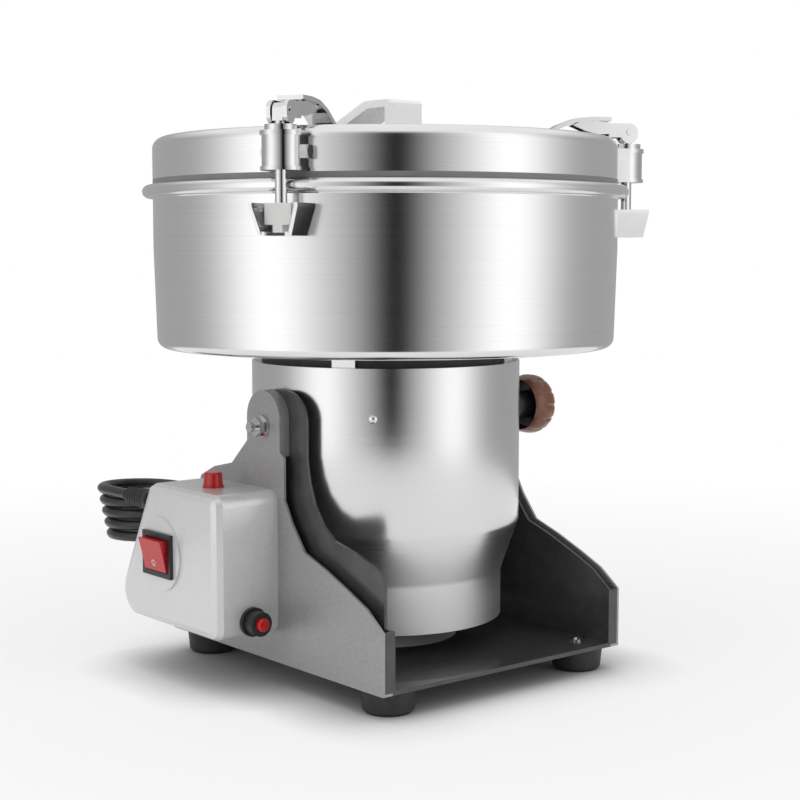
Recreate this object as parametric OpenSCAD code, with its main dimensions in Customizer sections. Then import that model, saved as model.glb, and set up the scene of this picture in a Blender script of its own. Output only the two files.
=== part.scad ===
// Electric grain mill: a tilting grinding bowl on a motor housing, carried between the cheeks of a floor frame.
// The resting plane is z = 0, the open front of the frame faces -Y and the control box is on the -X side.

/* [Bowl] */
// Outer radius of the bowl and the lid
bowl_r = 140; // [125:1:150]
// Sheet thickness of the bowl and the lid
sheet_t = 1.5; // [1:0.1:2]
// Height of the bowl below its rim
bowl_h = 89; // [70:1:110]
// Radius of the bowl's lower corner
bowl_corner_r = 8; // [4:1:14]
// How far the rolled rim stands out from the bowl wall
rim_out = 6.3; // [5:0.1:8]
// Height of the rolled rim
rim_h = 7.5; // [6:0.5:10]

/* [Lid] */
// Height of the lid above its gasket
lid_h = 24.6; // [18:0.2:32]
// Thickness of the gasket between lid and rim
gasket_t = 3; // [2:0.5:4]
// Depth of the lid's spigot inside the bowl
spigot_h = 6; // [4:0.5:9]
// Width of the lid handle
handle_w = 25; // [18:1:34]
// Height of the lid handle
handle_h = 23; // [20:1:30]
// Thickness of the handle's strap
handle_t = 4.5; // [3:0.5:6]

/* [Motor] */
// Outer radius of the motor housing
motor_r = 81.8; // [76:0.2:82]
// Outer radius of the housing's lower part
motor_low_r = 70.9; // [64:0.1:74]
// Height of the motor housing
motor_h = 156; // [146:1:162]
// Height of the housing's narrow part
motor_low_h = 27; // [20:1:34]
// Height of the curve between the two radii
neck_h = 33; // [24:1:42]
// Radius of the motor shaft
shaft_r = 6; // [5:0.5:8]
// Radius of the rotor
rotor_r = 33; // [28:1:38]

/* [Frame] */
// Distance from the middle to the inner face of a cheek
cheek_in = 83; // [82.5:0.1:86]
// Sheet thickness of the frame
frame_t = 1.8; // [1.5:0.1:2.2]
// Depth of the side covers
cover_d = 6.8; // [5:0.1:9]
// Sheet thickness of the side covers
cover_t = 1.5; // [1:0.1:2]
// Distance from the middle to the frame's front edge
frame_front = 110.7; // [104:0.1:120]
// Distance from the middle to the frame's rear edge
frame_rear = 100; // [96:1:110]
// Height of the tilting axis above the frame's floor
pivot_rise = 137; // [130:1:142]
// Clearance between the frame's underside and the motor housing
motor_gap = 16; // [14:0.5:20]
// Height of the rubber feet
foot_h = 14; // [10:1:20]
// Upper radius of the rubber feet
foot_r = 15.8; // [12:0.1:18]

/* [Control box] */
// Width of the control box, out from the side cover
box_w = 42.4; // [38:0.2:50]
// Height of the control box
box_h = 83.5; // [76:0.5:90]
// Thickness of the box's walls
box_t = 1.8; // [1.2:0.1:2.5]
// Length of the switch's frame
switch_l = 31; // [28:0.5:34]
// Height of the switch's frame
switch_h = 26; // [23:0.5:30]
// Radius of the reset button
reset_r = 3.9; // [3:0.1:5]

/* [Latches] */
// Number of latches round the bowl
latches = 3; // [3:1:4]
// Radius of a latch rod
rod_r = 3.2; // [2.5:0.1:3.6]
// Width of a latch housing
barrel_w = 21; // [18:0.5:24]
// Reach of a latch lever inward over the lid
lever_reach = 58; // [45:1:70]

/* [Cord] */
// Diameter of the mains lead
cord_d = 6.5; // [5.5:0.1:7]
// Turns in the put-away coil
coil_turns = 4.25; // [4.25:1:5.25]

/* [Hidden] */

$fn = 96;
small_fn = 32;
over = 1; // overrun of every cut
gap = 0.3; // air between bodies that move against each other
fit = 0.05; // radial play of a running fit

// Heights and places that the driving sizes give
floor_z = foot_h;
floor_t = 2.5;
floor_top = floor_z + floor_t;
pivot_z = floor_z + pivot_rise;
motor_z = floor_z + motor_gap;
motor_top = motor_z + motor_h;
spacer_h = 8.3;
bowl_z = motor_top + spacer_h;
rim_z = bowl_z + bowl_h;
rim_top = rim_z + rim_h;
rim_r = bowl_r + rim_out;
lid_z = rim_top + gap + gasket_t;
lid_top = lid_z + lid_h;
cheek_out = cheek_in + frame_t;
cover_out = cheek_out + cover_d;
box_out = cover_out + box_w;
foot_x = 73.5;
foot_inset_front = 17.7;
foot_inset_rear = 16;
foot_front = frame_front - foot_inset_front;
foot_back = frame_rear - foot_inset_rear;

// Latch sizes
rod_gap = 2;
rod_at = rim_r + rod_gap + rod_r;
cam_r = 5.3;
cam_off = 1.7;
lever_pin_r = 2;
latch_stroke = 1.2;
barrel_r = barrel_w / 2;
lip_t = 2;
barrel_h = 16;
plate_t = 2.5;
washer_t = 3.1;
washer_r = 8.5;
barrel_z = lid_z + lip_t;
plate_z = barrel_z + barrel_h;
washer_z = plate_z + plate_t;
cam_z = washer_z + washer_t + gap + cam_r + cam_off;
block_w = 15;
block_d = 9;
block_h = 11.3;
block_drop = 6;
block_z = rim_z - block_drop - block_h;
nut_h = 4;
nut_af = 10;
rod_nut_af = 9;
eye_w = 8;
eye_t = 6;
cheek_gap = 0.5;
lever_t = 2.5;
first_latch = -150;
bracket_reach = 22;

function latch_angle(i) = first_latch + i * 360 / latches;

// The part stands with its box-shaped outline centred on the origin
latch_reach = max(rod_at + barrel_r, bowl_r + bracket_reach);
axis_y = (rim_r - latch_reach) / 2;

module on_axis() { translate([0, axis_y, 0]) children(); }
module at_latch(i) { on_axis() rotate(latch_angle(i)) children(); }
module each_latch() { for (i = [0:latches - 1]) at_latch(i) children(); }
module both_sides() { for (side = [0, 1]) mirror([side, 0, 0]) children(); }
// An outline drawn with its first coordinate along +Y and its second along +Z, given a thickness along +X
module upright(from, thick) {
    translate([from, 0, 0]) rotate([90, 0, 90]) linear_extrude(thick) children();
}
module along_x(from, len, r) { translate([from, 0, 0]) rotate([0, 90, 0]) cylinder(h=len, r=r); }
module hex(af, h) { cylinder(h=h, r=af / 2 / cos(30), $fn=6); }

// Side outlines of the frame

ear_half = 33;
ear_rise = 21;
ear_round = 14;
shoulder_front = frame_front - 7;
shoulder_drop = 71;
cover_ear = 16.5;
cover_ear_up = 4.5;
plate_ear_rear = 15;
plate_ear_round = 18;
cover_neck = 4;
cover_front_share = [0.25, 0.36, 0.54, 0.72, 0.87, 1];
cover_height_share = [0.61, 0.5, 0.45, 0.39, 0.335, 0.256];
step_round = 12;

// The tall plate behind the left cover
module tall_profile() {
    difference() {
        union() {
            translate([-ear_half, 0])
                square([ear_half + plate_ear_rear, pivot_rise + ear_rise - plate_ear_round]);
            translate([-ear_half + plate_ear_round, 0])
                square([ear_half + plate_ear_rear - plate_ear_round - ear_round, pivot_rise + ear_rise]);
            translate([-ear_half + plate_ear_round, pivot_rise + ear_rise - plate_ear_round])
                circle(plate_ear_round);
            translate([plate_ear_rear - ear_round, pivot_rise + ear_rise - ear_round]) circle(ear_round);
            polygon([[-shoulder_front, 0], [-shoulder_front, shoulder_drop - step_round],
                [-shoulder_front + step_round / 3, shoulder_drop - step_round / 2],
                [-shoulder_front + step_round, shoulder_drop - step_round / 6],
                [-shoulder_front + 2 * step_round, shoulder_drop + step_round / 8],
                [-ear_half - 2.2 * step_round, shoulder_drop + step_round / 2],
                [-ear_half - 1.3 * step_round, shoulder_drop + 1.1 * step_round],
                [-ear_half - 0.6 * step_round, shoulder_drop + 2 * step_round],
                [-ear_half - step_round / 5, shoulder_drop + 3 * step_round],
                [-ear_half, shoulder_drop + 4 * step_round], [0, shoulder_drop], [0, 0]]);
            polygon(rear_points());
        }
    }
    translate([-frame_front, 0]) square([frame_front, cover_height_share[5] * pivot_rise]);
}
function rear_points() = [[0, 0], [frame_rear, 0], [frame_rear, 0.32 * pivot_rise],
    [0.84 * frame_rear, 0.42 * pivot_rise], [0.67 * frame_rear, 0.74 * pivot_rise],
    [0.52 * frame_rear, 0.79 * pivot_rise], [ear_half, 0.82 * pivot_rise], [0, 0.9 * pivot_rise]];

// The lower, sloping outline of the right cheek and of both covers
module low_profile() {
    polygon(concat([[0, 0], [-frame_front, 0]],
        [for (k = [5:-1:0]) [-cover_front_share[k] * frame_front, cover_height_share[k] * pivot_rise]],
        [[-cover_ear - cover_neck, 0.7 * pivot_rise], [-cover_ear - cover_neck, 0.88 * pivot_rise],
         [-cover_ear, 0.9 * pivot_rise],
            [-cover_ear, pivot_rise + cover_ear_up], [cover_ear, pivot_rise + cover_ear_up],
            [cover_ear, 0.93 * pivot_rise]],
        [for (k = [6:-1:1]) rear_points()[k]]));
    translate([0, pivot_rise + cover_ear_up]) circle(cover_ear);
}
cheek_ear = 24;
module right_cheek_profile() {
    low_profile();
    intersection() {
        tall_profile();
        translate([-cheek_ear, 0.5 * pivot_rise]) square([2 * cheek_ear, pivot_rise]);
    }
}

// Frame and what is fastened to it

// The round air hole in the floor is as wide as the housing's lower edge needs when the body tilts
swing_r = norm([motor_low_r, pivot_z - motor_z]);
air_hole_clear = 3;
air_hole_r = sqrt(swing_r * swing_r - pow(pivot_z - floor_top - gap, 2)) + air_hole_clear;
pivot_hole_r = 7;
stud_r = 3;

module base_frame() color([0.2, 0.2, 0.21]) on_axis() difference() {
    union() {
        translate([-cheek_out, -frame_front, floor_z])
            cube([2 * cheek_out, frame_front + frame_rear, floor_t]);
        translate([0, 0, floor_z]) upright(-cheek_out, frame_t) tall_profile();
        translate([0, 0, floor_z]) upright(cheek_in, frame_t) right_cheek_profile();
        both_sides() translate([cheek_in, -frame_front, floor_z + cover_t])
            cube([cover_out - cover_t - cheek_in, frame_t, cover_height_share[5] * pivot_rise - cover_t]);
    }
    translate([0, 0, floor_z - over]) cylinder(h=floor_t + 2 * over, r=air_hole_r);
    translate([0, 0, pivot_z]) along_x(-cover_out, 2 * cover_out, pivot_hole_r);
    for (x = [-foot_x, foot_x], y = [-foot_front, foot_back])
        translate([x, y, floor_z - over]) cylinder(h=floor_t + 2 * over, r=screw_r + fit, $fn=small_fn);
}

standoff_r = 5;
standoffs = [[-0.8 * frame_front, 0.16 * pivot_rise], [0, 0.16 * pivot_rise],
    [0.85 * frame_rear, 0.16 * pivot_rise], [0, 0.7 * pivot_rise]];
ear_flange_z = 0.88 * pivot_rise;

module side_cover() difference() {
    union() {
        translate([0, 0, floor_z]) upright(cover_out - cover_t, cover_t) low_profile();
        translate([0, 0, floor_z]) upright(cheek_out, cover_d) difference() {
            union() {
                translate([0, pivot_rise + cover_ear_up]) circle(cover_ear);
                translate([-cover_ear, ear_flange_z])
                    square([2 * cover_ear, pivot_rise + cover_ear_up - ear_flange_z]);
            }
            translate([0, pivot_rise + cover_ear_up]) circle(cover_ear - cover_t);
            translate([-cover_ear + cover_t, 0]) square([2 * (cover_ear - cover_t), pivot_rise + cover_ear_up]);
        }
        translate([0, 0, floor_z]) upright(cheek_out, cover_d) {
            translate([-frame_front, 0]) square([frame_front + frame_rear, cover_t]);
            translate([frame_rear - cover_t, 0]) square([cover_t, 0.32 * pivot_rise - cover_t]);
        }
    }
    translate([0, 0, pivot_z]) along_x(cheek_out, cover_d + over, bush_r);
}

module left_cover() color([0.6, 0.61, 0.62]) on_axis() mirror([1, 0, 0]) difference() {
    side_cover();
    translate([cover_out - cover_t - over, 0.3 * box_low_y, floor_z + 0.4 * box_h])
        cube([cover_t + 2 * over, 0.25 * box_low_y, 0.2 * box_h]);
}
module right_cover() color([0.6, 0.61, 0.62]) on_axis() side_cover();

module cover_standoffs() color([0.55, 0.55, 0.56]) on_axis() both_sides()
    for (p = standoffs) translate([0, p[0], floor_z + p[1]])
        along_x(cheek_out, cover_d - cover_t, standoff_r, $fn=small_fn);

foot_taper = 1.3;
screw_r = 2;
screw_head_r = 3.8;
screw_head_h = 2.2;
foot_recess_r = 6;

module rubber_feet() color([0.1, 0.1, 0.1]) on_axis()
    for (x = [-foot_x, foot_x], y = [-foot_front, foot_back]) translate([x, y, 0]) difference() {
        rotate_extrude() polygon([[0, 0], [foot_r - foot_taper - foot_edge, 0], [foot_r - foot_taper, foot_edge],
            [foot_r, foot_h], [0, foot_h]]);
        translate([0, 0, -over]) cylinder(h=foot_h / 2 + over, r=foot_recess_r);
        cylinder(h=foot_h + over, r=screw_r + fit, $fn=small_fn);
    }
foot_edge = 1.8;

module foot_screws() color([0.75, 0.75, 0.76]) on_axis()
    for (x = [-foot_x, foot_x], y = [-foot_front, foot_back]) translate([x, y, 0]) {
        translate([0, 0, foot_h / 2 - nut_h + fit]) cylinder(h=floor_top - foot_h / 2 + nut_h - fit, r=screw_r);
        translate([0, 0, foot_h / 2 - nut_h]) hex(0.8 * nut_af, nut_h);
        translate([0, 0, floor_top]) rotate_extrude($fn=small_fn) polygon([[0, 0], [screw_head_r, 0],
            [screw_head_r, screw_head_h / 2], [screw_head_r / 2, screw_head_h], [0, screw_head_h]]);
    }

bush_r = 6;

module pivot_bushes() color([0.9, 0.9, 0.86]) on_axis() both_sides() translate([0, 0, pivot_z]) difference() {
    union() {
        along_x(cheek_in, cover_out - cheek_in, bush_r - fit);
        along_x(cheek_in, frame_t, pivot_hole_r - fit);
        along_x(cheek_out, frame_t, pivot_hole_r + frame_t);
    }
    along_x(cheek_in - over, cover_d + frame_t + 2 * over, stud_r + fit);
}

// Control box

box_front = 14;
box_top_y = 62;
box_low_y = 92;
box_lift = 17.5;
box_z = floor_z + box_lift;
box_top = box_z + box_h;
box_round = 7;
box_low_round = 16;
box_edge = 5;

module box_profile(inset) {
    hull() {
        translate([-box_front + box_round, box_round]) circle(box_round - inset, $fn=small_fn);
        translate([-box_front + box_round, box_h - box_round]) circle(box_round - inset, $fn=small_fn);
        translate([box_top_y - box_round, box_h - box_round]) circle(box_round - inset, $fn=small_fn);
        translate([box_low_y - box_low_round, box_low_round]) circle(box_low_round - inset, $fn=small_fn);
    }
}
module box_solid(inset, depth) hull() {
    linear_extrude(depth - box_edge) box_profile(inset);
    linear_extrude(depth - 0.3 * box_edge) box_profile(inset + 0.3 * box_edge);
    linear_extrude(depth) box_profile(inset + box_edge);
}

switch_y = 45;
switch_rise = 60.5;
switch_z = floor_z + switch_rise;
emboss_r = 22;
emboss_t = 1.4;
lamp_x = cover_out + box_w / 2;
lamp_y = 20.7;
lamp_r = 5.8;
lamp_h = 9;
lamp_stem_r = 4;
breaker_off = 18.4;
breaker_rise = 27;
breaker_x = cover_out + breaker_off;
breaker_z = floor_z + breaker_rise;
breaker_r = 8.4;
breaker_body_r = 7;
breaker_out = 10;
breaker_in_r = 6;
breaker_flange_t = 2.5;
gland_x = 123;
gland_drop = 13;
gland_z = box_top - gland_drop;
gland_r = 5;

// The opening for the switch, through the dish and the wall behind it
module switch_hole() translate([-over, -switch_l / 2 + switch_lip, -switch_h / 2 + switch_lip])
    cube([box_t + emboss_t + 2 * over, switch_l - 2 * switch_lip, switch_h - 2 * switch_lip]);

module control_box() color([0.8, 0.81, 0.82]) on_axis() difference() {
    union() {
        translate([-cover_out, 0, box_z]) rotate([90, 0, -90]) mirror([1, 0, 0]) box_solid(0, box_w);
        translate([0, switch_y, switch_z]) along_x(-box_out - emboss_t, 2 * emboss_t, emboss_r);
    }
    translate([-cover_out + over, 0, box_z]) rotate([90, 0, -90]) mirror([1, 0, 0])
        box_solid(box_t, box_w - box_t + over);
    translate([-box_out - emboss_t, switch_y, switch_z]) switch_hole();
    translate([-lamp_x, lamp_y, box_top - box_t - over]) cylinder(h=box_t + 2 * over, r=lamp_stem_r + fit);
    translate([-breaker_x, -box_front - over, breaker_z]) rotate([-90, 0, 0])
        cylinder(h=box_t + 2 * over, r=breaker_in_r + fit);
    translate([-gland_x, box_top_y - box_round, gland_z]) rotate([-90, 0, 0])
        cylinder(h=box_low_y, r=gland_r + fit);
}

switch_lip = 2;
switch_t = 2;
switch_body_d = 18;
rocker_gap = 0.6;

module switch_frame() color([0.08, 0.08, 0.08]) on_axis() translate([-box_out, switch_y, switch_z])
difference() {
    union() {
        translate([-emboss_t - switch_t, -switch_l / 2, -switch_h / 2])
            cube([switch_t, switch_l, switch_h]);
        translate([-emboss_t - switch_t, -switch_l / 2 + switch_lip + fit, -switch_h / 2 + switch_lip + fit])
            cube([switch_body_d, switch_l - 2 * switch_lip - 2 * fit, switch_h - 2 * switch_lip - 2 * fit]);
    }
    translate([-emboss_t - switch_t - over, -rocker_l / 2 - rocker_gap, -rocker_h / 2 - rocker_gap])
        cube([switch_body_d / 2 + over, rocker_l + 2 * rocker_gap, rocker_h + 2 * rocker_gap]);
}

rocker_l = switch_l - 3 * switch_lip - 2 * rocker_gap;
rocker_h = switch_h - 3 * switch_lip - 2 * rocker_gap;
rocker_out = 5;
rocker_low = 0.6;
rocker_sink = 3;
rocker_pin_r = 1.2;

module switch_rocker() color([0.8, 0.06, 0.05]) on_axis()
    translate([-box_out - emboss_t - switch_t, switch_y, switch_z]) rotate([90, 0, 0]) {
        linear_extrude(rocker_l, center=true) polygon([[-rocker_low, -rocker_h / 2], [-rocker_out / 2, 0],
            [-rocker_out, rocker_h / 2], [rocker_low, rocker_h / 2], [rocker_sink, 0],
            [rocker_sink, -rocker_h / 3], [rocker_sink / 2, -rocker_h / 2]]);
        translate([rocker_sink / 2, 0, 0]) cylinder(h=rocker_l + rocker_gap, r=rocker_pin_r, center=true);
    }

module pilot_lamp() color([0.85, 0.1, 0.08]) on_axis() translate([-lamp_x, lamp_y, box_top]) {
    rotate_extrude() polygon([[0, 0], [1.1 * lamp_r, 0], [1.1 * lamp_r, 0.12 * lamp_h],
        [lamp_r, 0.12 * lamp_h], [0.9 * lamp_r, 0.9 * lamp_h], [0.78 * lamp_r, lamp_h], [0, lamp_h]]);
    translate([0, 0, -2 * lamp_r]) cylinder(h=2 * lamp_r, r=lamp_stem_r);
}

module breaker_body() color([0.08, 0.08, 0.08]) on_axis() translate([-breaker_x, -box_front, breaker_z])
    rotate([90, 0, 0]) difference() {
        union() {
            cylinder(h=breaker_flange_t, r=breaker_r);
            cylinder(h=breaker_out, r=breaker_body_r);
            translate([0, 0, -2 * breaker_r]) cylinder(h=2 * breaker_r, r=breaker_in_r);
        }
        translate([0, 0, -reset_travel - 2 * over]) cylinder(h=breaker_out + 2 * breaker_r, r=reset_r + fit);
    }

reset_travel = 2.5;
reset_out = 3;

module reset_button() color([0.9, 0.12, 0.08]) on_axis() translate([-breaker_x, -box_front, breaker_z])
    rotate([90, 0, 0]) rotate_extrude() polygon([[0, -over], [reset_r, -over],
        [reset_r, breaker_out + 0.7 * reset_out], [0.8 * reset_r, breaker_out + reset_out],
        [0, breaker_out + reset_out]]);

// Mains lead: strain relief, coil and plug

gland_in = 2;
gland_from = box_top_y - gland_in;
gland_reach = 2;
gland_wall_y = box_top_y + gland_reach;
gland_neck_l = 6;
gland_edge = 1;
gland_head_l = 4;
gland_lip = 2;
relief_l = 28;
relief_wall = 1;
relief_from = gland_wall_y + gland_neck_l + gland_head_l;
relief_end = relief_from + relief_l;

module cord_gland() color([0.08, 0.08, 0.08]) on_axis() translate([-gland_x, 0, gland_z]) rotate([-90, 0, 0])
    rotate_extrude($fn=small_fn) polygon([[0, gland_from], [gland_r, gland_from],
        [gland_r, gland_wall_y + gland_neck_l], [gland_r + gland_lip, gland_wall_y + gland_neck_l + gland_edge],
        [gland_r + gland_lip, relief_from], [cord_d / 2 + relief_wall, relief_end], [0, relief_end]]);

coil_r = 4.3 * cord_d;
turn_gap = 0.9;
coil_pitch = cord_d + turn_gap;
coil_shift = 1.5;
coil_run = 24.7;
coil_x = -gland_x + coil_r;
coil_y = relief_end + coil_run;
coil_top = gland_z;
loop_rings = 24;
coil_steps = coil_turns * loop_rings;
cord_sides = 8;
loop_sides = 6;

// A point of the coil: it runs round clockwise, seen from above, and down, each turn a little nearer the frame
function coil_point(k) = let (t = k / loop_rings, a = 180 - 360 * t)
    [coil_x + coil_shift * t + coil_r * cos(a), coil_y + coil_r * sin(a), coil_top - coil_pitch * t];
coil_path = concat([coil_point(0) - [0, cord_d, 0]], [for (k = [0:coil_steps]) coil_point(k)],
    [coil_point(coil_steps) + [cord_d, 0, 0]]);

function unit(v) = v / norm(v);
function heading(p, i) = unit(p[min(i + 1, len(p) - 1)] - p[max(i - 1, 0)]);
function side_of(d) = unit(cross(d, abs(d[2]) > 0.9 ? [1, 0, 0] : [0, 0, 1]));
function ring(c, d, r, n) = let (u = side_of(d), v = cross(d, u))
    [for (j = [0:n - 1]) c + r * (cos(360 * (j + 0.5) / n) * u + sin(360 * (j + 0.5) / n) * v)];

// A tube swept along a path; its end rings stand square to the headings given for them
module tube(path, d, n, first, last) {
    m = len(path);
    rings = [for (i = [0:m - 1]) each ring(path[i], i == 0 ? first : i == m - 1 ? last : heading(path, i),
        d / 2, n)];
    faces = concat([[for (j = [0:n - 1]) j]], [[for (j = [n - 1:-1:0]) (m - 1) * n + j]],
        [for (i = [0:m - 2], j = [0:n - 1]) each [
            [i * n + j, (i + 1) * n + j, i * n + (j + 1) % n],
            [i * n + (j + 1) % n, (i + 1) * n + j, (i + 1) * n + (j + 1) % n]]]);
    polyhedron(rings, faces);
}

// The least distance between two turns of the coil, surface to surface
coil_gap = min([for (i = [0:2:coil_steps - loop_rings / 2], k = [i + loop_rings / 2:coil_steps])
    norm(coil_point(i) - coil_point(k))]) - cord_d;
echo(coil_gap=coil_gap);

lead_start = [-gland_x, relief_end, gland_z];
tail_path = [
    [-70, 154.5, 68], [-60, 154, 64], [-51, 153.5, 57], [-43, 153, 48], [-34, 152.5, 38], [-24, 152, 29],
    [-12, 151.5, 21.5], [1, 150.5, 16.5], [15, 149.5, 14], [29, 148.5, 13.3]];
plug_at = [42, 147, 13.2];
plug_turn = -9;

module cord_lead() color([0.07, 0.07, 0.07]) on_axis()
    tube([lead_start, coil_path[0]], cord_d, cord_sides, [0, 1, 0], [0, 1, 0]);

module cord_coil() color([0.07, 0.07, 0.07]) on_axis()
    tube(coil_path, cord_d, loop_sides, [0, 1, 0], [1, 0, 0]);

module cord_tail() color([0.07, 0.07, 0.07]) on_axis()
    tube(concat([coil_path[len(coil_path) - 1]], tail_path, [plug_at]), cord_d, cord_sides,
        [1, 0, 0], [cos(plug_turn), sin(plug_turn), 0]);

plug_l = 44;
plug_r = 13;
plug_neck_r = 5;
plug_edge = 1;
pin_l = 18;
pin_w = 6;
pin_t = 2;
earth_r = 2.4;
pin_gap = 6.4;
pin_row = 2;

module at_plug() { on_axis() translate(plug_at) rotate(plug_turn) children(); }
module plug_body() color([0.08, 0.08, 0.08]) at_plug() rotate([0, 90, 0]) difference() {
    rotate_extrude() polygon([[0, 0], [plug_neck_r, 0], [plug_neck_r + plug_edge, 0.3 * plug_l],
        [plug_r - plug_edge, 0.45 * plug_l], [plug_r, 0.55 * plug_l], [plug_r, plug_l - 2 * plug_edge],
        [plug_r - plug_edge, plug_l],
        [0, plug_l]]);
    translate([0, 0, plug_l - pin_w]) each_pin(pin_w + over, fit);
}
module each_pin(h, play) {
    for (s = [-1, 1]) translate([-pin_row, s * pin_gap, 0]) linear_extrude(h)
        square([pin_w + 2 * play, pin_t + 2 * play], center=true);
    translate([pin_gap, 0, 0]) cylinder(h=h, r=earth_r + play, $fn=small_fn);
}
module plug_pins() color([0.8, 0.75, 0.5]) at_plug() rotate([0, 90, 0])
    translate([0, 0, plug_l - pin_w]) each_pin(pin_l + pin_w, 0);

// Motor housing and what it holds

function neck(t) = motor_low_r + (motor_r - motor_low_r) * (1 - cos(180 * t)) / 2;
neck_steps = 10;
function housing_line(inset) = concat([[motor_low_r - inset, 0]],
    [for (k = [0:neck_steps]) [neck(k / neck_steps) - inset, motor_low_h + neck_h * k / neck_steps]],
    [[motor_r - inset, motor_h]]);

module motor_housing() color([0.78, 0.78, 0.78]) on_axis() difference() {
    translate([0, 0, motor_z]) rotate_extrude($fn=128) polygon(concat(housing_line(0),
        [for (k = [len(housing_line(0)) - 1:-1:0]) housing_line(sheet_t)[k]]));
    translate([0, 0, pivot_z]) along_x(-cheek_in, 2 * cheek_in, stud_r + fit);
}

plate_gap = 0.05;

module motor_top_plate() color([0.7, 0.7, 0.7]) on_axis() translate([0, 0, motor_top - top_plate_t])
difference() {
    cylinder(h=top_plate_t, r=motor_r - sheet_t - plate_gap, $fn=128);
    translate([0, 0, -over]) cylinder(h=top_plate_t + 2 * over, r=bearing_r + plate_gap);
}
top_plate_t = 4;

cover_slots = 12;
slot_w = 4;

module end_cover() color([0.15, 0.15, 0.15]) on_axis() translate([0, 0, motor_z]) difference() {
    cylinder(h=end_t, r=motor_low_r - sheet_t - plate_gap, $fn=128);
    for (k = [0:cover_slots - 1]) rotate(360 * k / cover_slots)
        translate([0.45 * motor_low_r, -slot_w / 2, -over]) cube([0.4 * motor_low_r, slot_w, end_t + 2 * over]);
}
end_t = 3;

bearing_r = 16;
bearing_h = 10;
low_bearing_rise = 14;
low_bearing_z = motor_z + low_bearing_rise;
up_bearing_z = motor_top - bearing_h;

module bearing(z) on_axis() translate([0, 0, z]) difference() {
    cylinder(h=bearing_h, r=bearing_r);
    translate([0, 0, -over]) cylinder(h=bearing_h + 2 * over, r=shaft_r + fit);
}
module upper_bearing() color([0.65, 0.66, 0.68]) bearing(up_bearing_z);
module lower_bearing() color([0.65, 0.66, 0.68]) bearing(low_bearing_z);

carrier_t = 5;
carrier_lip = 2;
arm_w = 18;
module carrier(z, reach, h) on_axis() translate([0, 0, z]) difference() {
    union() {
        cylinder(h=h, r=bearing_r + carrier_t);
        for (k = [0:2]) rotate(120 * k + 30) translate([0, -arm_w / 2, 0])
            cube([reach - 2 * sheet_t, arm_w, carrier_t]);
        difference() {
            cylinder(h=carrier_t, r=reach, $fn=128);
            translate([0, 0, -over]) cylinder(h=carrier_t + 2 * over, r=reach - carrier_t);
        }
    }
    translate([0, 0, -over]) cylinder(h=h + 2 * over, r=bearing_r + plate_gap);
}
module upper_bearing_carrier() color([0.6, 0.6, 0.62])
    carrier(up_bearing_z - carrier_t, motor_r - sheet_t - plate_gap,
        bearing_h + carrier_t - top_plate_t - plate_gap);
module lower_bearing_carrier() color([0.6, 0.6, 0.62])
    carrier(low_bearing_z - carrier_lip, motor_low_r - sheet_t - plate_gap, bearing_h + carrier_lip);

stator_rise = 2;
stator_z = motor_z + motor_low_h + neck_h + stator_rise;
motor_room = motor_h - motor_low_h - neck_h - stator_rise - bearing_h - carrier_t;
stator_h = 0.54 * motor_room;
rotor_gap = 0.6;
module stator() color([0.5, 0.32, 0.18]) on_axis() translate([0, 0, stator_z]) difference() {
    cylinder(h=stator_h, r=motor_r - sheet_t - plate_gap, $fn=128);
    translate([0, 0, -over]) cylinder(h=stator_h + 2 * over, r=rotor_r + rotor_gap);
    for (k = [0:3]) rotate(90 * k + 45) translate([0.78 * motor_r, 0, -over])
        cylinder(h=stator_h + 2 * over, r=0.16 * motor_r);
}

commutator_r = 15;
commutator_h = 0.19 * motor_room;
commutator_gap = 0.05 * motor_room;
commutator_z = stator_z + stator_h + commutator_gap;
brush_w = 0.12 * motor_room;
brush_rise = 0.04 * motor_room;
brush_end = 1.5;
module brush_holders() color([0.75, 0.6, 0.3]) on_axis() for (s = [0, 180]) rotate(s + 90)
    translate([commutator_r + rotor_gap, -brush_w / 2, commutator_z + brush_rise])
        cube([motor_r - sheet_t - commutator_r - 2 * rotor_gap - brush_end, brush_w, brush_w]);

gap_ring_out = 76;
gap_ring_in = 60;
spacer_w = 14;
spacer_inset = 4;
spacers = 4;
spacer_turn = -12;
module gap_ring() color([0.06, 0.06, 0.06]) on_axis() translate([0, 0, motor_top]) difference() {
    cylinder(h=spacer_h, r=gap_ring_out);
    translate([0, 0, -over]) cylinder(h=spacer_h + 2 * over, r=gap_ring_in);
    for (k = [0:spacers - 1]) rotate(90 * k + spacer_turn - 45)
        translate([gap_ring_in + spacer_inset, -spacer_w / 2 - fit, -over])
            cube([2 * spacer_w, spacer_w + 2 * fit, spacer_h + 2 * over]);
}
module bowl_spacers() color([0.85, 0.85, 0.86]) on_axis() translate([0, 0, motor_top])
    for (k = [0:spacers - 1]) rotate(90 * k + spacer_turn - 45)
        translate([gap_ring_in + spacer_inset + fit, -spacer_w / 2, 0])
            cube([motor_r - gap_ring_in - 2 * spacer_inset, spacer_w, spacer_h]);

seal_r = 18;
seal_h = 12;
seal_seat = 4;
seal_lip = 5;

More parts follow.
